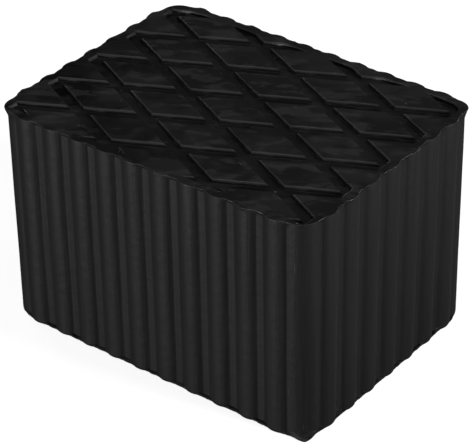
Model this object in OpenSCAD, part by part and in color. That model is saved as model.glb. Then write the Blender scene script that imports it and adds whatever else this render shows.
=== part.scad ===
// Rubber pad for a lifting jack: one solid moulded block that goes between a
// jack saddle or lift arm and a vehicle.
//
// Rounded flutes run up all four walls and round the corners in one unbroken
// rhythm. The load face carries raised diamond pads parted by two sets of
// straight grooves, which stop short of the edge and leave a plain rim.
//
// Millimetres. The origin is at the centre of the underside, X runs along the
// length and Z is up.

/* [Block] */
// Length over the flute crests, along X
block_length = 160; // [110:1:240]
// Width over the flute crests, along Y
block_width = 120; // [90:1:200]
// Height from the underside to the load face
block_height = 101.5; // [20:0.5:200]
// Radius of the upright corners, over the flute crests
corner_radius = 15; // [10:0.5:30]

/* [Flutes] */
// Nominal distance between flute crests, adjusted to close round the outline
flute_pitch = 14; // [9:0.5:24]
// Depth of the floor between flutes, below the crests
flute_depth = 2; // [0.8:0.1:4]
// Radius of the rounded face of a flute
flute_radius = 8; // [5:0.5:14]

/* [Load face] */
// Length of one diamond cell of the tread, along X
diamond_length = 51.2; // [30:0.2:80]
// Width of one diamond cell of the tread, along Y
diamond_width = 25.4; // [15:0.2:50]
// Width of a groove at the load face
groove_width = 5.5; // [2:0.1:8]
// Depth of a groove
groove_depth = 1.8; // [0.5:0.1:4]
// Lean of a groove wall from upright, in degrees
groove_wall_angle = 12; // [0:1:20]
// Width of the plain rim round the tread, from the flute crests
rim_width = 4.8; // [3:0.1:12]
// Distance of the middle diamond from the centre of the face, along X
tread_offset_x = 1.6; // [-10:0.1:10]
// Distance of the middle diamond from the centre of the face, along Y
tread_offset_y = -2.4; // [-10:0.1:10]

/* [Foot] */
// Height of the thin web of moulding flash between the flutes at the foot
flash_height = 1.6; // [0.4:0.1:4]
// Distance of the edge of the flash inside the flute crests
flash_inset = 0.5; // [0.1:0.1:0.7]

/* [Hidden] */
rubber_colour = [0.10, 0.10, 0.105];
// Number of straight segments in a full circle
$fn = 96;
// Extra length that carries a cutter clear of the face it cuts
clear = 1;

// Straight runs of the crest line, from the middle of a wall to its corner arc
run_x = block_length / 2 - corner_radius;
run_y = block_width / 2 - corner_radius;
arc_length = corner_radius * PI / 2;
quarter_length = run_x + arc_length + run_y;
// A floor falls on the middle of each long wall and a crest on the middle of
// each short wall, so a quarter of the outline holds a half-odd number of pitches
quarter_flutes = max(1, round(quarter_length / flute_pitch - 0.5));
true_pitch = quarter_length / (quarter_flutes + 0.5);

// Grooves follow the sides of the diamond cells
groove_angle = atan(diamond_width / diamond_length);
groove_floor = groove_width - 2 * groove_depth * tan(groove_wall_angle);
groove_length = block_length + block_width;
// Grooves of one set that can reach the face, to either side of its centre
grooves_each_side = ceil((block_width + block_length * tan(groove_angle)) / (2 * diamond_width)) + 1;

// Distance along the crest line of a quarter, from the middle of the long wall,
// to flute number i
function crest_at(i) = (i + 0.5) * true_pitch;

// Turn of the wall's outward normal at a distance s along the quarter, from 0 on
// the long wall to 90 on the short wall
function turn_at(s) = s <= run_x ? 0 : s >= run_x + arc_length ? 90 : (s - run_x) / corner_radius * 180 / PI;

// Foot of that normal on the line that the corner arcs are struck from
function base_at(s) = s <= run_x ? [s, run_y]
    : s >= run_x + arc_length ? [run_x, quarter_length - s]
    : [run_x, run_y];

// Outline of the block, drawn inset from the flute crests
module block_outline(inset) {
    square([2 * run_x, block_width - 2 * inset], center = true);
    square([block_length - 2 * inset, 2 * run_y], center = true);
    for (x = [-run_x, run_x], y = [-run_y, run_y])
        translate([x, y]) circle(r = corner_radius - inset);
}

// Rounded faces of the flutes along one quarter of the outline
module quarter_crests() {
    for (i = [0 : quarter_flutes]) {
        s = crest_at(i);
        turn = turn_at(s);
        reach = corner_radius - flute_radius;
        translate(base_at(s) + reach * [sin(turn), cos(turn)]) circle(r = flute_radius);
    }
}

// Fluted section of the block, the same at every height
module fluted_section() {
    block_outline(flute_depth);
    for (flip_x = [0, 1], flip_y = [0, 1])
        mirror([flip_x, 0]) mirror([0, flip_y]) quarter_crests();
}

// Section of one groove, open to the load face
module groove_section() {
    half_top = groove_width / 2;
    half_floor = groove_floor / 2;
    half_above = half_top + clear * tan(groove_wall_angle);
    polygon([[-half_floor, -groove_depth], [half_floor, -groove_depth],
             [half_above, clear], [-half_above, clear]]);
}

// One set of parallel grooves at the given lean from the X axis, through the
// corners of the diamond cells
module groove_set(lean) {
    for (i = [-grooves_each_side : grooves_each_side])
        translate([0, (i + 0.5) * diamond_width, 0])
            rotate([0, 0, lean]) rotate([90, 0, 90])
                linear_extrude(groove_length, center = true) groove_section();
}

// All that is cut out of the load face, held inside the rim
module tread_grooves() {
    translate([0, 0, block_height]) intersection() {
        translate([tread_offset_x, tread_offset_y, 0]) {
            groove_set(groove_angle);
            groove_set(-groove_angle);
        }
        translate([0, 0, -groove_depth - clear])
            linear_extrude(groove_depth + 2 * clear) block_outline(rim_width);
    }
}

module rubber_pad() {
    color(rubber_colour) difference() {
        union() {
            linear_extrude(block_height) fluted_section();
            linear_extrude(flash_height) block_outline(flash_inset);
        }
        tread_grooves();
    }
}

rubber_pad();
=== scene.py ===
import logging
import math
from collections.abc import Callable, Mapping
from dataclasses import dataclass, field
from enum import Enum
from typing import Any

import bmesh
import bpy
import numpy as np
from mathutils import Matrix, Vector, noise


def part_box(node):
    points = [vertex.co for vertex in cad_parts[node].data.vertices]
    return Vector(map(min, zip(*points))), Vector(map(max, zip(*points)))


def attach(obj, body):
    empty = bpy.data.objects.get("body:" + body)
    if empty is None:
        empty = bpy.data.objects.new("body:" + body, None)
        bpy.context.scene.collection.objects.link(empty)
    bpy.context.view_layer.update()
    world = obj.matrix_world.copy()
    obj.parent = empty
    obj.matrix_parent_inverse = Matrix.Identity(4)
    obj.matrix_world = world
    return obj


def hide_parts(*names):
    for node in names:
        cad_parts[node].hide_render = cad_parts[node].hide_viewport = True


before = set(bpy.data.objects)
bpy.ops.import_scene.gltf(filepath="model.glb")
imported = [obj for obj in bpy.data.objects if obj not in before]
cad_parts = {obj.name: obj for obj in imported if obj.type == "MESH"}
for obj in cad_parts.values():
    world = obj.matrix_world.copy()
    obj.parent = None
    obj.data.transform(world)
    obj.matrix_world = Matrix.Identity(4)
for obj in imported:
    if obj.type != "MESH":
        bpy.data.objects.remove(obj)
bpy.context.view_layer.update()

LOG = logging.getLogger("rubber_pad")
MM = 0.001
# Least Z of the normal of a face that points upwards
UPWARD = 0.9


class Lay(Enum):
    """Way that a set of tread grooves leans as it runs along +X."""

    RISING = 1
    FALLING = -1


class Row(Enum):
    """Kind of a row of points round the wall."""

    FOOT = "foot"
    WEB_EDGE = "web edge"
    WEB_ROOT = "web root"
    WALL = "wall"
    EDGE = "top edge"


def colour(code: str) -> tuple[float, float, float, float]:
    """Turn an sRGB hex colour to the linear colour that a socket takes.

    Args:
        code: Six hex digits.

    Returns:
        Linear red, green, blue and an alpha of 1.
    """
    parts = [int(code[i:i + 2], 16) / 255 for i in (0, 2, 4)]
    red, green, blue = (v / 12.92 if v <= 0.04045 else ((v + 0.055) / 1.055) ** 2.4 for v in parts)
    return red, green, blue, 1.0


def add_node(tree: bpy.types.NodeTree, kind: str, inputs: Mapping[str | int, Any],
             **settings: Any) -> bpy.types.Node:
    """Add a node with its settings and links.

    Args:
        tree: Node tree that the node joins.
        kind: Blender's name for the type of node.
        inputs: Socket name or number to a value, or to the output that feeds it.
        **settings: Properties of the node.

    Returns:
        The new node.
    """
    made = tree.nodes.new(kind)
    for name, value in settings.items():
        setattr(made, name, value)
    for name, value in inputs.items():
        if isinstance(value, bpy.types.NodeSocket):
            tree.links.new(value, made.inputs[name])
        else:
            made.inputs[name].default_value = value
    return made


def activate(piece: bpy.types.Object) -> None:
    """Make a piece the only one selected and the active one.

    Args:
        piece: Object to take hold of.
    """
    bpy.ops.object.select_all(action="DESELECT")
    piece.select_set(True)
    bpy.context.view_layer.objects.active = piece


def new_piece(name: str, primitive: Callable[..., set[str]], **options: Any) -> bpy.types.Object:
    """Add a primitive as a named object with nothing of its mesh selected.

    Args:
        name: Name of the object and its mesh.
        primitive: Operator that adds the primitive.
        **options: Size and place that the operator takes.

    Returns:
        The new object.
    """
    bpy.ops.object.select_all(action="DESELECT")
    primitive(**options)
    piece = bpy.context.object
    piece.name = piece.data.name = name
    edit(piece, lambda: bpy.ops.mesh.select_all(action="DESELECT"))
    return piece


def edit(piece: bpy.types.Object, *steps: Callable[[], Any]) -> None:
    """Run steps of modelling in edit mode.

    Args:
        piece: Object that is edited.
        *steps: Calls to run in order.
    """
    activate(piece)
    bpy.ops.object.mode_set(mode="EDIT")
    for step in steps:
        step()
    bpy.ops.object.mode_set(mode="OBJECT")


def clear_selection(piece: bpy.types.Object, kind: str) -> None:
    """Deselect all of a mesh and choose what is selected next.

    Args:
        piece: Object whose mesh it is, left in object mode.
        kind: VERT, EDGE or FACE.
    """
    edit(piece, lambda: bpy.ops.mesh.select_mode(type=kind),
         lambda: bpy.ops.mesh.select_all(action="DESELECT"))


def select_top(piece: bpy.types.Object) -> None:
    """Select only the faces of a piece that point upwards.

    Args:
        piece: Object in object mode.
    """
    clear_selection(piece, "FACE")
    for polygon in piece.data.polygons:
        polygon.select = polygon.normal.z > UPWARD


def copy_of(piece: bpy.types.Object, move: Matrix) -> bpy.types.Object:
    """Copy a piece with a mesh of its own, and set the copy in its place.

    Args:
        piece: Object to copy.
        move: Turn and shift from the first piece to the copy.

    Returns:
        The copy, with its place in its mesh.
    """
    twin = piece.copy()
    twin.data = piece.data.copy()
    bpy.context.collection.objects.link(twin)
    twin.data.transform(move)
    return twin


def join(pieces: list[bpy.types.Object]) -> bpy.types.Object:
    """Join pieces into the first of them.

    Args:
        pieces: Objects to join.

    Returns:
        The first piece, which now holds them all.
    """
    activate(pieces[0])
    for piece in pieces:
        piece.select_set(True)
    bpy.ops.object.join()
    return bpy.context.object


def cut(piece: bpy.types.Object, tool: bpy.types.Object, operation: str = "DIFFERENCE") -> None:
    """Cut a piece with a closed tool, which is then thrown away.

    Args:
        piece: Object that is cut.
        tool: Closed mesh that cuts it.
        operation: The Boolean modifier's operation.
    """
    activate(piece)
    modifier = piece.modifiers.new("cut", "BOOLEAN")
    modifier.operation = operation
    modifier.solver = "EXACT"
    modifier.object = tool
    bpy.ops.object.modifier_apply(modifier=modifier.name)
    bpy.data.objects.remove(tool)


def slab(name: str, sides: tuple[float, float], low: float, top: float) -> bpy.types.Object:
    """Add a flat block centred over the origin.

    Args:
        name: Name of the object.
        sides: Size along X and along Y.
        low: Height of its underside.
        top: Height of its top.

    Returns:
        The block, with its size and place in its mesh.
    """
    block = new_piece(name, bpy.ops.mesh.primitive_cube_add, size=1, location=(0, 0, 0))
    block.data.transform(Matrix.Translation((0, 0, (low + top) / 2))
                         @ Matrix.Diagonal((*sides, top - low, 1)))
    return block


def raise_sides(tool: bpy.types.Object, steps: list[tuple[float, float]], half: float,
                scale: Callable[[float, float], tuple[float, float, float]]) -> None:
    """Extrude the top of a cutter upwards step by step along a profile.

    Args:
        tool: Cutter with a flat top at the first step's height.
        steps: Heights and half widths to pass through.
        half: Half width of the top face at the start.
        scale: Turns a new and an old half width to the scale of the top face.
    """
    height = steps[0][0]
    for index, (top, wide) in enumerate(steps):
        select_top(tool)
        if index:
            edit(tool, lambda: bpy.ops.mesh.extrude_region_move(
                TRANSFORM_OT_translate={"value": (0, 0, top - height)}))
        edit(tool, lambda: bpy.ops.transform.resize(value=scale(wide, half)))
        height, half = top, wide


def smoothstep(low: float, high: float, value: np.ndarray) -> np.ndarray:
    """Ease values from 0 below low to 1 above high."""
    share = np.clip((value - low) / (high - low), 0.0, 1.0)
    return share * share * (3 - 2 * share)


@dataclass(frozen=True)
class Lumps:
    """Smooth unevenness of a moulded surface, in millimetres.

    The seed sets one unevenness apart from another. A share of height below 1
    draws the lumps out upwards.
    """

    reach: float
    size: float
    seed: float
    height_share: float = 1.0

    def at(self, places: np.ndarray) -> np.ndarray:
        """Find how far the surface stands out.

        Args:
            places: Rows of x, y and z.

        Returns:
            The distance at each place, between about -reach and reach.
        """
        scaled = places * (1, 1, self.height_share) / self.size + self.seed
        return self.reach * np.array([noise.noise(Vector(row)) for row in scaled])


def uneven(places: np.ndarray, layers: tuple[Lumps, ...]) -> np.ndarray:
    """Add up layers of unevenness at rows of x, y and z."""
    return sum(layer.at(places) for layer in layers)


@dataclass
class FluteLine:
    """Outline of the block: rounded flutes parted by narrow flat floors, in millimetres.

    A strike line runs inside the outline at the corner radius. At each place on
    it the outline lies as far out as the nearest flute or the floor reaches.
    Its points are a step apart where it runs straight, and a turn step, in
    degrees, where it bends.
    """

    length: float
    width: float
    corner: float = 15.0
    flutes_per_quarter: float = 9.5
    depth: float = 2.0
    flute_radius: float = 8.0
    fillet: float = 0.45
    step: float = 1.3
    turn_step: float = 9.0
    fine_points: int = 16000
    half_chord: float = 0.06
    points: np.ndarray = field(init=False)
    normals: np.ndarray = field(init=False)
    crests: np.ndarray = field(init=False)
    outward: np.ndarray = field(init=False)

    def __post_init__(self) -> None:
        """Lay out the outline, close where it turns and wide where it runs straight."""
        runs = np.arange(self.fine_points) / self.fine_points * 4 * self.quarter
        fine, _ = self.trace(runs)
        leg = np.roll(fine, -1, axis=0) - fine
        heading = np.unwrap(np.arctan2(leg[:, 1], leg[:, 0]))
        turn = np.abs(np.diff(heading, append=heading[0] - 2 * math.pi))
        turn = np.minimum(turn, 2 * math.pi - turn % (2 * math.pi))
        effort = np.hypot(leg[:, 0], leg[:, 1]) / self.step + np.degrees(turn) / self.turn_step
        total = np.concatenate([[0.0], np.cumsum(effort)])
        count = math.ceil(total[-1])
        wanted = np.arange(count) / count * total[-1]
        along = np.interp(wanted, total, np.append(runs, 4 * self.quarter))
        self.points, self.crests = self.trace(along)
        _, self.outward = self.strike(along)
        ahead, _ = self.trace(along + self.half_chord)
        behind, _ = self.trace(along - self.half_chord)
        chord = ahead - behind
        chord /= np.linalg.norm(chord, axis=1)[:, None]
        self.normals = np.stack([-chord[:, 1], chord[:, 0]], axis=1)

    @property
    def quarter(self) -> float:
        """Length of the crest line from the middle of a long wall to that of a short one."""
        return self.length / 2 + self.width / 2 - 2 * self.corner + self.corner * math.pi / 2

    @property
    def pitch(self) -> float:
        """Distance between flutes along the crest line."""
        return self.quarter / self.flutes_per_quarter

    def strike(self, runs: np.ndarray) -> tuple[np.ndarray, np.ndarray]:
        """Find the foot and the direction of the outward normal.

        Args:
            runs: Distances along the crest line, clockwise from the middle of the
                back wall, +Y.

        Returns:
            Feet on the strike line, and unit normals.
        """
        run_x = self.length / 2 - self.corner
        run_y = self.width / 2 - self.corner
        part = runs % (4 * self.quarter)
        index = np.floor(part / self.quarter).astype(int)
        local = part - index * self.quarter
        back = index % 2 == 1
        local = np.where(back, self.quarter - local, local)
        arc = self.corner * math.pi / 2
        turn = np.clip((local - run_x) / self.corner, 0, math.pi / 2)
        foot_x = np.minimum(local, run_x)
        foot_y = np.where(local > run_x + arc, self.quarter - local, run_y)
        sign_x = np.where(index < 2, 1, -1)
        sign_y = np.where((index == 0) | (index == 3), 1, -1)
        feet = np.stack([foot_x * sign_x, foot_y * sign_y], axis=1)
        ways = np.stack([np.sin(turn) * sign_x, np.cos(turn) * sign_y], axis=1)
        return feet, ways

    def trace(self, runs: np.ndarray) -> tuple[np.ndarray, np.ndarray]:
        """Find the outline at distances along the crest line.

        Args:
            runs: Distances along the crest line.

        Returns:
            Points of the outline, and how deep each lies under the crest line.
        """
        feet, ways = self.strike(runs)
        centre = (np.floor(runs / self.pitch) + 0.5) * self.pitch
        reach = np.full(len(runs), self.corner - self.depth)
        for neighbour in (-1, 0, 1):
            seat, out = self.strike(centre + neighbour * self.pitch)
            middle = seat + out * (self.corner - self.flute_radius) - feet
            ahead = (middle * ways).sum(axis=1)
            aside2 = (middle ** 2).sum(axis=1) - ahead ** 2
            hit = self.flute_radius ** 2 - aside2
            lobe = np.where(hit > 0, ahead + np.sqrt(np.maximum(hit, 0)), -np.inf)
            near = np.maximum(self.fillet - np.abs(reach - lobe), 0) / self.fillet
            reach = np.maximum(reach, lobe) + near * near * self.fillet / 4
        return feet + ways * reach[:, None], self.corner - reach


@dataclass
class Groove:
    """One straight groove of the tread, as the tool that cuts it, in millimetres.

    The floor turns and the lip turns are the steps of the two roundings, in
    degrees. The tool rises clear of the load face, and widens as it does.
    """

    width: float = 5.3
    depth: float = 1.8
    wall_angle: float = 12.0
    floor_fillet: float = 0.15
    floor_turns: tuple[float, ...] = (90, 60, 30)
    lip: float = 0.85
    lip_turns: tuple[float, ...] = (28, 44, 60, 76)
    clear: tuple[float, float] = (0.3, 1.0)
    length: float = 280.0

    def profile(self) -> list[tuple[float, float]]:
        """Trace the side of the groove, from its floor over its rounded lip.

        Returns:
            Pairs of height over the load face and distance from the groove's
            middle line.
        """
        lean = math.radians(self.wall_angle)
        foot = self.width / 2 - self.depth * math.tan(lean)
        steps = []
        for turn in self.floor_turns:
            swing = math.radians(turn)
            steps.append((-self.depth + self.floor_fillet * (1 - math.sin(swing)),
                          foot + self.floor_fillet * (math.cos(swing) - 1)))
        start = -self.lip * (1 - math.sin(lean))
        middle = foot + (self.depth + start) * math.tan(lean) + self.lip * math.cos(lean)
        for turn in (self.wall_angle, *self.lip_turns):
            swing = math.radians(turn)
            steps.append((-self.lip * (1 - math.sin(swing)), middle - self.lip * math.cos(swing)))
        rise, spread = self.clear
        steps.append((rise, steps[-1][1] + spread))
        return steps

    def tool(self) -> bpy.types.Object:
        """Model one groove's cutter along X, with the load face at z = 0.

        Returns:
            The cutter.
        """
        steps = self.profile()
        (low, half), (top, _) = steps[:2]
        bar = slab("groove", (self.length, 2 * half), low, top)
        raise_sides(bar, steps[1:], half, lambda wide, before: (1, wide / before, 1))
        return bar


@dataclass
class Tread:
    """Diamond tread: two sets of grooves that stop at a plain rim, in millimetres."""

    outline: FluteLine
    load_face: float
    diamond: tuple[float, float] = (51.2, 25.4)
    centre: tuple[float, float] = (1.6, -2.4)
    rim: float = 4.8
    groove: Groove = field(default_factory=Groove)

    def rim_tool(self) -> bpy.types.Object:
        """Model the block that holds the grooves inside the rim.

        Returns:
            The block, with square corners and the groove's own profile up its
            sides.
        """
        steps = self.groove.profile()
        middle = self.groove.width / 2
        half_x = self.outline.length / 2 - self.rim - middle
        half_y = self.outline.width / 2 - self.rim - middle
        (low, half), (top, _) = steps[:2]
        block = slab("rim", (2 * (half_x + half), 2 * (half_y + half)), low, top)
        raise_sides(block, steps[1:], half, lambda wide, before: (
            (half_x + wide) / (half_x + before), (half_y + wide) / (half_y + before), 1))
        return block

    def groove_set(self, lay: Lay) -> bpy.types.Object:
        """Model one set of parallel grooves, ended at the rim.

        Args:
            lay: Way that the set leans.

        Returns:
            The cutter for the whole set, in its place on the load face.
        """
        lean = math.atan2(self.diamond[1], self.diamond[0]) * lay.value
        bar = self.groove.tool()
        each_side = math.ceil((self.outline.width + self.outline.length * abs(math.tan(lean)))
                              / (2 * self.diamond[1]))
        bars = []
        for index in range(-each_side, each_side):
            seat = Matrix.Translation((self.centre[0],
                                       self.centre[1] + (index + 0.5) * self.diamond[1], 0))
            bars.append(copy_of(bar, seat @ Matrix.Rotation(lean, 4, "Z")))
        bpy.data.objects.remove(bar)
        grooves = join(bars)
        cut(grooves, self.rim_tool(), "INTERSECT")
        grooves.data.transform(Matrix.Translation((0, 0, self.load_face)))
        return grooves


@dataclass(frozen=True)
class Wear:
    """Knocks that the block has taken and flash it was trimmed of, in millimetres.

    A dent is an x, a y, a width and a depth in the load face, and dents turn by
    radians for each millimetre of x, so that they lie unlike each other. The nick
    is a place on a wall, with its size. A flare is an x, a y, a reach outwards at
    the load face and a width, and the tongue is the same at the foot.
    """

    dents: tuple[tuple[float, float, float, float], ...] = (
        (29.0, -35.5, 1.5, 0.35), (21.0, 13.0, 1.3, 0.3), (11.0, 11.5, 1.1, 0.25),
        (-49.5, -41.5, 1.2, 0.3), (-14.5, -55.8, 1.4, 0.5), (36.0, -55.2, 1.6, 0.5),
    )
    dent_above: float = 0.15
    dent_breadth: float = 0.6
    dent_lumps: float = 0.25
    dent_fineness: float = 1.3
    dent_turn: float = 0.3
    nick: tuple[float, float, float] = (64.0, -58.2, 35.0)
    nick_size: tuple[float, float, float] = (1.4, 1.0, 1.6)
    flares: tuple[tuple[float, float, float, float], ...] = (
        (-76.0, -56.0, 1.3, 6.0), (76.0, 56.0, 1.3, 6.0),
    )
    flare_fall: tuple[float, float] = (0.2, 4.5)
    tongue: tuple[float, float, float, float] = (75.5, -55.5, 3.2, 3.8)
    tongue_droop: float = 0.36

    @staticmethod
    def bulge(points: np.ndarray, seats: tuple[tuple[float, float, float, float], ...]) -> np.ndarray:
        """Find how far the rubber stands out near some places.

        Args:
            points: Rows of x and y.
            seats: For each place, its x and y, the reach there and the width.

        Returns:
            The reach at each point.
        """
        out = np.zeros(len(points))
        for x, y, reach, size in seats:
            gap = np.hypot(points[:, 0] - x, points[:, 1] - y)
            out += reach * np.exp(-(gap / size) ** 2)
        return out

    def scoops(self, load_face: float) -> bpy.types.Object:
        """Model what scoops the dents and the nick out of the block.

        Args:
            load_face: Height of the load face.

        Returns:
            One cutter for all of them.
        """
        scoops = []
        for x, y, size, depth in self.dents:
            scoop = new_piece("dent", bpy.ops.mesh.primitive_ico_sphere_add, subdivisions=3, radius=1)
            for vertex in scoop.data.vertices:
                place = vertex.co * self.dent_fineness + Vector((x, y, 0))
                vertex.co *= 1 + self.dent_lumps * noise.noise(place)
            breadth = size * self.dent_breadth
            scoop.data.transform(Matrix.Translation((x, y, load_face + self.dent_above))
                                 @ Matrix.Rotation(x * self.dent_turn, 4, "Z")
                                 @ Matrix.Diagonal((size, breadth, depth + self.dent_above, 1)))
            scoops.append(scoop)
        nick = new_piece("nick", bpy.ops.mesh.primitive_ico_sphere_add, subdivisions=3, radius=1)
        nick.data.transform(Matrix.Translation(self.nick) @ Matrix.Diagonal((*self.nick_size, 1)))
        return join([*scoops, nick])


@dataclass
class Pad:
    """The moulded block, with its fluted walls, foot, edge and tread, in millimetres.

    The web is the flash between the flutes at the foot. At the load face the
    floors between the flutes come forward a little in the same way, as a lip.
    """

    outline: FluteLine
    height: float
    tread: Tread
    wear: Wear = field(default_factory=Wear)
    # Rounding of the foot: the height and inset of each row
    foot_rounding: tuple[tuple[float, float], ...] = ((0.0, 0.4), (0.25, 0.1))
    # Web: its ragged top, and how far its wavy edge stays inside the crests
    web_height: float = 1.3
    web_ragged: tuple[Lumps, ...] = (Lumps(0.286, 5.0, 3.1), Lumps(0.286, 1.6, 7.7))
    web_inset: float = 0.6
    web_wavy: tuple[Lumps, ...] = (Lumps(0.22, 3.0, 5.3), Lumps(0.12, 1.1, 2.9))
    web_step: float = 0.02
    # Rows of the wall: the first, the even ones from a height to a drop below the
    # load face, and the drops of the last
    first_row: float = 2.4
    even_rows: tuple[float, float] = (4.0, 6.0)
    row_gap: float = 4.0
    last_rows: tuple[float, ...] = (4.2, 2.8, 1.6, 0.9)
    # Lip between the flutes at the load face, and the drops between which it fades
    lip_inset: float = 1.15
    lip_wavy: tuple[Lumps, ...] = (Lumps(0.35, 7.0, 9.4), Lumps(0.15, 2.0, 3.3))
    lip_fall: tuple[float, float] = (0.3, 1.7)
    # Rounding of the top edge, in steps of degrees
    edge_round: float = 0.12
    edge_turns: tuple[float, ...] = (0, 22, 45, 68, 90)
    edge_wavy: tuple[Lumps, ...] = (Lumps(0.042, 6.0, 1.9), Lumps(0.036, 1.5, 8.2))
    # Burrs on the top edge, where their own lumps rise through the span
    burr_reach: float = 0.3
    burr_span: tuple[float, float] = (0.3, 0.5)
    burr_place: Lumps = Lumps(1.0, 4.5, 12.3)
    # Unevenness of the whole wall, outwards and along it
    sway: tuple[Lumps, ...] = (Lumps(0.08, 9.0, 0.4, 0.35), Lumps(0.03, 3.0, 6.6))
    drift: Lumps = Lumps(0.16, 22.0, 4.7, 0.5)
    # Mesh: distance at which points merge, sharp angle in degrees and normals' weight
    weld: float = 1e-4
    smooth_angle: float = 26.0
    normal_weight: int = 70

    def rings(self) -> list[tuple[Row, float, float]]:
        """List the rows of the wall from the foot to the load face.

        Returns:
            For each row, its kind, its height and how far it is drawn in. In the
            web the height counts from its top, and in the top edge both are
            shares of the rounding.
        """
        rows = [(Row.FOOT, z, inset) for z, inset in self.foot_rounding]
        rows += [(Row.WEB_EDGE, 0.0, 0.0), (Row.WEB_ROOT, self.web_step, 0.0)]
        low, below = self.even_rows
        high = self.height - below
        levels = [self.first_row, *np.linspace(low, high, round((high - low) / self.row_gap))]
        levels += [self.height - drop for drop in self.last_rows]
        rows += [(Row.WALL, float(z), 0.0) for z in levels]
        for angle in self.edge_turns:
            turn = math.radians(angle)
            rows.append((Row.EDGE, math.sin(turn), 1 - math.cos(turn)))
        return rows

    def wall(self) -> bpy.types.Object:
        """Wrap a strip of mesh round the outline and shape it to the wall.

        Returns:
            The wall, closed by its underside and its load face.
        """
        rings = self.rings()
        strip = new_piece("rubber_pad_body", bpy.ops.mesh.primitive_grid_add,
                          x_subdivisions=len(self.outline.points),
                          y_subdivisions=len(rings) - 1, size=1)
        places = self.lay_out(rings)
        places = np.concatenate([places, places[:, :1]], axis=1)
        strip.data.vertices.foreach_set("co", places.reshape(-1))
        edit(strip, lambda: bpy.ops.mesh.select_all(action="SELECT"),
             lambda: bpy.ops.mesh.remove_doubles(threshold=self.weld))
        for high in (False, True):
            self.close_end(strip, high)
        edit(strip, lambda: bpy.ops.mesh.select_all(action="SELECT"),
             lambda: bpy.ops.mesh.normals_make_consistent(inside=False))
        return strip

    def lay_out(self, rings: list[tuple[Row, float, float]]) -> np.ndarray:
        """Place every point of the wall.

        Args:
            rings: Rows of the wall, from the foot up.

        Returns:
            Rows by columns of x, y and z.
        """
        line = self.outline
        flat = np.column_stack([line.points, np.zeros(len(line.points))])
        aside = np.column_stack([-line.normals[:, 1], line.normals[:, 0]])
        flare = self.wear.bulge(line.points, self.wear.flares)
        tongue = self.wear.bulge(line.points, (self.wear.tongue,))
        web_top = self.web_height + uneven(flat, self.web_ragged)
        web_fill = np.maximum(line.crests - self.web_inset - uneven(flat, self.web_wavy), 0)
        lip_fill = np.maximum(line.crests - self.lip_inset - uneven(flat, self.lip_wavy), 0)
        edge_round = self.edge_round + uneven(flat, self.edge_wavy)
        burr = self.burr_reach * smoothstep(*self.burr_span, self.burr_place.at(flat))
        placed = []
        for kind, z, inset in rings:
            up = np.full(len(flat), z)
            push = -np.full(len(flat), inset)
            if kind is Row.WEB_EDGE:
                up = web_top + z - self.wear.tongue_droop * tongue
            elif kind is Row.WEB_ROOT:
                up = web_top + z
            elif kind is Row.EDGE:
                up = self.height - edge_round + edge_round * z + burr * z / 2
                push = burr * (1 - z / 2) - edge_round * inset
            drop = self.height - up
            push = push + lip_fill * (1 - smoothstep(*self.lip_fall, drop))
            pull = flare * (1 - smoothstep(*self.wear.flare_fall, drop))
            if kind in (Row.FOOT, Row.WEB_EDGE):
                push = push + web_fill
                pull = pull + tongue
            row = np.column_stack([line.points, up])
            push = push + uneven(row, self.sway)
            shift = (line.normals * push[:, None] + aside * self.drift.at(row)[:, None]
                     + line.outward * pull[:, None])
            row[:, :2] += shift
            placed.append(row)
        return np.array(placed)

    def close_end(self, strip: bpy.types.Object, high: bool) -> None:
        """Close one end of the wall with a flat face.

        Args:
            strip: The wrapped wall.
            high: Whether it is the load face and not the underside.
        """
        clear_selection(strip, "EDGE")
        form = bmesh.new()
        form.from_mesh(strip.data)
        open_edges = [e.index for e in form.edges if e.is_boundary
                      and (e.verts[0].co.z > self.height / 2) == high]
        form.free()
        for index in open_edges:
            strip.data.edges[index].select = True
        edit(strip, bpy.ops.mesh.edge_face_add)

    def build(self) -> bpy.types.Object:
        """Model the whole pad.

        Returns:
            The finished piece, in metres.
        """
        body = self.wall()
        for lay in Lay:
            cut(body, self.tread.groove_set(lay))
        cut(body, self.wear.scoops(self.height))
        body.data.transform(Matrix.Scale(MM, 4))
        activate(body)
        bpy.ops.object.shade_smooth_by_angle(angle=math.radians(self.smooth_angle))
        modifier = body.modifiers.new("even_normals", "WEIGHTED_NORMAL")
        modifier.keep_sharp = True
        modifier.weight = self.normal_weight
        bpy.ops.object.modifier_apply(modifier=modifier.name)
        return body


@dataclass(frozen=True)
class Pattern:
    """Noise pattern of a finish, with its real sizes in millimetres.

    Across is the width of a patch and stretch draws it out along X, Y and Z.
    Octaves add finer detail. The noise values in span become 0 and 1.
    """

    across: float
    octaves: float
    span: tuple[float, float]
    stretch: tuple[float, float, float] = (1.0, 1.0, 1.0)
    easing: str = "SMOOTHSTEP"

    def draw(self, tree: bpy.types.NodeTree, place: bpy.types.NodeSocket,
             turn: float) -> bpy.types.NodeSocket:
        """Add the pattern's nodes.

        Args:
            tree: Node tree of the material.
            place: Object coordinates.
            turn: Angle of the stretched X axis about Z, in degrees.

        Returns:
            The pattern's value, from 0 to 1.
        """
        shaped = add_node(tree, "ShaderNodeMapping", {
            "Vector": place, "Rotation": (0.0, 0.0, math.radians(turn)), "Scale": self.stretch},
            vector_type="TEXTURE")
        lumps = add_node(tree, "ShaderNodeTexNoise", {
            "Vector": shaped.outputs["Vector"], "Scale": 1 / (self.across * MM),
            "Detail": self.octaves, "Roughness": 0.55})
        eased = add_node(tree, "ShaderNodeMapRange", {
            "Value": lumps.outputs[0], "From Min": self.span[0], "From Max": self.span[1]},
            interpolation_type=self.easing)
        return eased.outputs[0]


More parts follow.
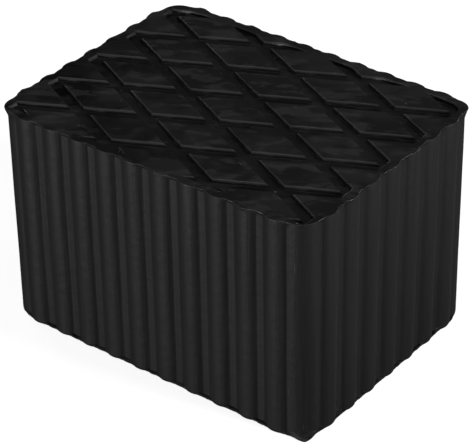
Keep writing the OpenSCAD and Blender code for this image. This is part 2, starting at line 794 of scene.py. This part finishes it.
@dataclass(frozen=True)
class BlackRubber:
    """Black rubber, compression-moulded in a machined steel mould.

    It is a dull satin black. The walls keep fine upright streaks from the tool
    marks of the mould, the load face has cloudy matt patches where it was
    pressed on and smears where it was rubbed, and scuffs and dust show pale.
    The groove floors are painted darker, as painted shade.
    """

    skin: str = "0c0c0d"
    bloom: str = "343436"
    # Painted shade: colour that darkens the sunk groove floors, standing in for the shade that falls
    # in them
    groove: str = "080809"
    scuff: str = "8c8c92"
    roughness: float = 0.44
    specular: float = 0.38
    ior: float = 1.52
    # Direction that the load face was rubbed in, in degrees from X
    rub: float = 32.0
    # Slopes, as the normal's Z, at which a face begins and ends to count as flat or as wall
    flat_slope: tuple[float, float] = (0.6, 0.95)
    wall_slope: tuple[float, float] = (0.5, 0.1)
    # Depths in mm under the load face between which a flat face becomes a groove's floor and takes
    # painted shade
    groove_shade_depth: tuple[float, float] = (0.3, 1.3)
    # Matt clouds where the load face was pressed on
    cloud: Pattern = Pattern(16.0, 4.0, (0.43, 0.6), (1.5, 1.0, 1.0))
    # Rubbed smears within the clouds
    smear: Pattern = Pattern(5.5, 4.0, (0.5, 0.62), (2.2, 1.0, 1.0))
    # Patches polished by what the block was pressed against
    polish: Pattern = Pattern(21.0, 3.0, (0.46, 0.58))
    # Low mottle left by the flow of the rubber
    mottle: Pattern = Pattern(4.0, 2.0, (0.0, 1.0), easing="LINEAR")
    # Streaks down the walls from the tool marks of the mould, some 30 mm long
    streak: Pattern = Pattern(1.0, 3.0, (0.3, 0.7), (1.0, 1.0, 28.0))
    # Broad bands down the walls, some 50 mm long
    band: Pattern = Pattern(3.2, 2.0, (0.3, 0.7), (1.0, 1.0, 17.0))
    # Pale scratches down the walls, some 10 mm long
    scratch: Pattern = Pattern(0.9, 0.0, (0.84, 0.9), (1.0, 1.0, 12.0))
    # Specks of dust and small chips
    speck: Pattern = Pattern(1.3, 0.0, (0.87, 0.9))
    # Moulded grain, drawn 0.5 mm across so that it shows
    grain: Pattern = Pattern(0.5, 2.0, (0.0, 1.0), easing="LINEAR")

    def masks(self, tree: bpy.types.NodeTree, load_face: float) -> dict[str, bpy.types.NodeSocket]:
        """Tell the load face, the grooves and the walls apart.

        Args:
            tree: Node tree of the material.
            load_face: Height of the load face in millimetres.

        Returns:
            The place on the piece in Object coordinates, and a share for each
            of flat, wall and the sunk groove floors that are painted darker as shade.
        """
        texture = add_node(tree, "ShaderNodeTexCoord", {})
        facing = add_node(tree, "ShaderNodeSeparateXYZ", {"Vector": texture.outputs["Normal"]})
        place = add_node(tree, "ShaderNodeSeparateXYZ", {"Vector": texture.outputs["Object"]})
        shares = {}
        for name, value, (low, high) in (
                ("flat", facing.outputs["Z"], self.flat_slope),
                ("wall", facing.outputs["Z"], self.wall_slope),
                ("deep", place.outputs["Z"], [(load_face - depth) * MM for depth in self.groove_shade_depth])):
            shares[name] = add_node(tree, "ShaderNodeMapRange", {
                "Value": value, "From Min": low, "From Max": high},
                interpolation_type="SMOOTHSTEP").outputs[0]
        # Flat faces sunk under the load face: the groove floors that get painted shade
        groove_shade = add_node(tree, "ShaderNodeMath", {0: shares["flat"], 1: shares["deep"]},
                        operation="MULTIPLY")
        return {"place": texture.outputs["Object"], "flat": shares["flat"],
                "wall": shares["wall"], "groove_shade": groove_shade.outputs[0]}

    def tint(self, tree: bpy.types.NodeTree, drawn: Mapping[str, bpy.types.NodeSocket],
             part: Mapping[str, bpy.types.NodeSocket]) -> bpy.types.NodeSocket:
        """Lay the coats of colour over the skin.

        Args:
            tree: Node tree of the material.
            drawn: Value of each pattern.
            part: Share of each part of the surface.

        Returns:
            The colour.
        """
        # Each coat lies over the last: the pattern, where it is, how strong, and its colour
        coats = (
            (drawn["cloud"], part["flat"], 0.3, self.bloom),
            (drawn["smear"], part["flat"], 0.55, self.bloom),
            (drawn["streak"], part["wall"], 0.08, self.bloom),
            (drawn["band"], part["wall"], 0.05, self.bloom),
            # Painted shade: the groove floors are darkened towards the groove colour
            (part["groove_shade"], part["flat"], 0.15, self.groove),
            (drawn["scratch"], part["wall"], 0.05, self.scuff),
            (drawn["speck"], part["flat"], 0.9, self.scuff),
        )
        tint = colour(self.skin)
        for pattern, where, strength, code in coats:
            both = add_node(tree, "ShaderNodeMath", {0: pattern, 1: where}, operation="MULTIPLY")
            share = add_node(tree, "ShaderNodeMath", {0: both.outputs[0], 1: strength},
                             operation="MULTIPLY")
            tint = add_node(tree, "ShaderNodeMix", {0: share.outputs[0], 6: tint, 7: colour(code)},
                            data_type="RGBA").outputs[2]
        return tint

    def gloss(self, tree: bpy.types.NodeTree, drawn: Mapping[str, bpy.types.NodeSocket],
              part: Mapping[str, bpy.types.NodeSocket]) -> bpy.types.NodeSocket:
        """Work out the roughness, over and under the skin's own.

        Args:
            tree: Node tree of the material.
            drawn: Value of each pattern.
            part: Share of each part of the surface.

        Returns:
            The roughness.
        """
        # Clouds and smears are matter than the skin round them, and streaks are glossier
        changes = (
            (drawn["cloud"], part["flat"], 0.06),
            (drawn["smear"], part["flat"], 0.06),
            (drawn["polish"], part["flat"], -0.08),
            (part["flat"], part["flat"], -0.13),
            (drawn["streak"], part["wall"], -0.04),
        )
        gloss = self.roughness
        for pattern, where, change in changes:
            share = add_node(tree, "ShaderNodeMath", {0: pattern, 1: where}, operation="MULTIPLY")
            gloss = add_node(tree, "ShaderNodeMath", {0: share.outputs[0], 1: change, 2: gloss},
                             operation="MULTIPLY_ADD").outputs[0]
        return gloss

    def relief(self, tree: bpy.types.NodeTree, drawn: Mapping[str, bpy.types.NodeSocket],
               part: Mapping[str, bpy.types.NodeSocket]) -> bpy.types.NodeSocket:
        """Raise the fine relief of the skin.

        Args:
            tree: Node tree of the material.
            drawn: Value of each pattern.
            part: Share of each part of the surface.

        Returns:
            The normal.
        """
        smear, streak = (add_node(tree, "ShaderNodeMath", {0: drawn[name], 1: part[where]},
                                  operation="MULTIPLY").outputs[0]
                         for name, where in (("smear", "flat"), ("streak", "wall")))
        # Heights in millimetres, of which grain and mottle lie everywhere
        heights = ((drawn["grain"], 0.012), (drawn["mottle"], 0.12), (smear, 0.06), (streak, 0.04))
        below = {}
        for pattern, height in heights:
            bump = add_node(tree, "ShaderNodeBump", {
                "Height": pattern, "Strength": 1.0, "Distance": height * MM, **below})
            below = {"Normal": bump.outputs["Normal"]}
        return below["Normal"]

    def make(self, load_face: float) -> bpy.types.Material:
        """Build the material on Object coordinates.

        Args:
            load_face: Height of the load face in millimetres.

        Returns:
            The material.
        """
        material = bpy.data.materials.new("moulded_black_rubber")
        material.use_nodes = True
        tree = material.node_tree
        part = self.masks(tree, load_face)
        drawn = {name: pattern.draw(tree, part["place"], self.rub)
                 for name, pattern in vars(self).items() if isinstance(pattern, Pattern)}
        shader = tree.nodes["Principled BSDF"]
        shader.inputs["IOR"].default_value = self.ior
        shader.inputs["Specular IOR Level"].default_value = self.specular
        tree.links.new(self.tint(tree, drawn, part), shader.inputs["Base Color"])
        tree.links.new(self.gloss(tree, drawn, part), shader.inputs["Roughness"])
        tree.links.new(self.relief(tree, drawn, part), shader.inputs["Normal"])
        return material


def direction(azimuth: float, elevation: float) -> Vector:
    """Unit vector from the block: azimuth in degrees from -Y towards +X, and elevation."""
    around, up = math.radians(azimuth), math.radians(elevation)
    return Vector((math.sin(around) * math.cos(up), -math.cos(around) * math.cos(up), math.sin(up)))


@dataclass(frozen=True)
class SoftLamp:
    """Square soft light, placed by its direction from the middle of the block.

    Angles are in degrees, the distance and size in metres, the power in watts,
    and the middle is a height in millimetres.
    """

    name: str
    azimuth: float
    elevation: float
    distance: float
    size: float
    power: float
    middle: float = 50.0

    def add(self) -> None:
        """Hang the light and aim it at the middle of the block."""
        lamp = bpy.data.lights.new(self.name, "AREA")
        lamp.size = self.size
        lamp.energy = self.power
        holder = bpy.data.objects.new(self.name, lamp)
        bpy.context.scene.collection.objects.link(holder)
        way = direction(self.azimuth, self.elevation)
        holder.location = Vector((0, 0, self.middle * MM)) + way * self.distance
        holder.rotation_euler = (-way).to_track_quat("-Z", "Y").to_euler()


@dataclass(frozen=True)
class Studio:
    """Pale floor, soft lights, plain world and the camera.

    The camera's angles are in degrees and its lengths in metres. Its lens is
    given by the focal length and the width of the picture in pixels, and the
    sensor is in millimetres. The floor is dark as the shade to the light on the
    block, and pale and glowing to the camera.
    """

    azimuth: float = 38.106
    elevation: float = 32.955
    roll: float = -0.948
    distance: float = 0.94104
    aim: tuple[float, float, float] = (0.00066, -0.00071, 0.044915)
    focal_pixels: float = 2221.788
    wide_pixels: float = 475.0
    sensor: float = 36.0
    floor_side: float = 4.0
    floor_shade: float = 0.07
    floor_seen: float = 0.5
    floor_glow: float = 0.78
    floor_roughness: float = 0.9
    sky: float = 0.012
    lamps: tuple[SoftLamp, ...] = (
        SoftLamp("left", 345, 4.5, 2.2, 0.36, 58.0),
        SoftLamp("right", 97, 14, 0.7, 0.2, 5.5),
        SoftLamp("front", 14, 58, 1.2, 0.5, 1.3),
        SoftLamp("top", 298, 68, 1.2, 0.8, 2.0),
        SoftLamp("sheen", 208, 30, 1.3, 0.6, 0.098),
        SoftLamp("back_left", 247, 3.5, 2.2, 0.5, 20.0),
        SoftLamp("back_right", 157, 4, 2.2, 0.5, 18.0),
    )

    def add_camera(self) -> None:
        """Set the camera."""
        data = bpy.data.cameras.new("camera")
        data.sensor_width = self.sensor
        data.lens = self.focal_pixels / self.wide_pixels * self.sensor
        camera = bpy.data.objects.new("camera", data)
        bpy.context.scene.collection.objects.link(camera)
        back = direction(self.azimuth, self.elevation)
        turn = (-back).to_track_quat("-Z", "Y").to_matrix().to_4x4()
        roll = Matrix.Rotation(math.radians(self.roll), 4, "Z")
        camera.matrix_world = Matrix.Translation(Vector(self.aim) + back * self.distance) @ turn @ roll
        bpy.context.scene.camera = camera

    def add_floor(self) -> None:
        """Lay the floor, white to the camera with the block's soft shadow on it."""
        floor = new_piece("floor", bpy.ops.mesh.primitive_plane_add, size=self.floor_side)
        material = bpy.data.materials.new("matt_white_paper")
        material.use_nodes = True
        tree = material.node_tree
        shader = tree.nodes["Principled BSDF"]
        shader.inputs["Roughness"].default_value = self.floor_roughness
        shader.inputs["Specular IOR Level"].default_value = 0.0
        seen = add_node(tree, "ShaderNodeLightPath", {}).outputs["Is Camera Ray"]
        shade, pale = ((level, level, level, 1.0) for level in (self.floor_shade, self.floor_seen))
        tint = add_node(tree, "ShaderNodeMix", {0: seen, 6: shade, 7: pale}, data_type="RGBA")
        tree.links.new(tint.outputs[2], shader.inputs["Base Color"])
        glow = add_node(tree, "ShaderNodeMath", {0: seen, 1: self.floor_glow}, operation="MULTIPLY")
        shader.inputs["Emission Color"].default_value = (1.0, 1.0, 1.0, 1.0)
        tree.links.new(glow.outputs[0], shader.inputs["Emission Strength"])
        floor.data.materials.append(material)

    def add_world(self) -> None:
        """Light the world softly, and show it white to the camera."""
        world = bpy.data.worlds.new("studio")
        bpy.context.scene.world = world
        world.use_nodes = True
        tree = world.node_tree
        path = add_node(tree, "ShaderNodeLightPath", {})
        sky = (self.sky, self.sky, self.sky, 1.0)
        shown = add_node(tree, "ShaderNodeMix", {0: path.outputs["Is Camera Ray"],
                                                 6: sky, 7: (1.0, 1.0, 1.0, 1.0)},
                         data_type="RGBA")
        tree.links.new(shown.outputs[2], tree.nodes["Background"].inputs["Color"])

    def build(self) -> None:
        """Set up the camera, floor, world and lights."""
        self.add_camera()
        self.add_floor()
        self.add_world()
        for lamp in self.lamps:
            lamp.add()
        bpy.context.scene.view_settings.view_transform = "Standard"


def main() -> None:
    """Build the block, dress it and set the studio."""
    logging.basicConfig(level=logging.INFO, format="%(name)s: %(message)s")
    low, high = (Vector(corner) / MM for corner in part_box("rubber_pad"))
    outline = FluteLine(length=high.x - low.x, width=high.y - low.y)
    LOG.info("outline of %d points, pitch %.2f mm", len(outline.points), outline.pitch)
    tread = Tread(outline, load_face=high.z)
    pad = Pad(outline, height=high.z - low.z, tread=tread).build()
    pad.data.materials.clear()
    pad.data.materials.append(BlackRubber().make(high.z))
    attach(pad, "root")
    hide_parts("rubber_pad")
    LOG.info("pad of %d faces", len(pad.data.polygons))
    Studio().build()


if __name__ == "__main__":
    main()
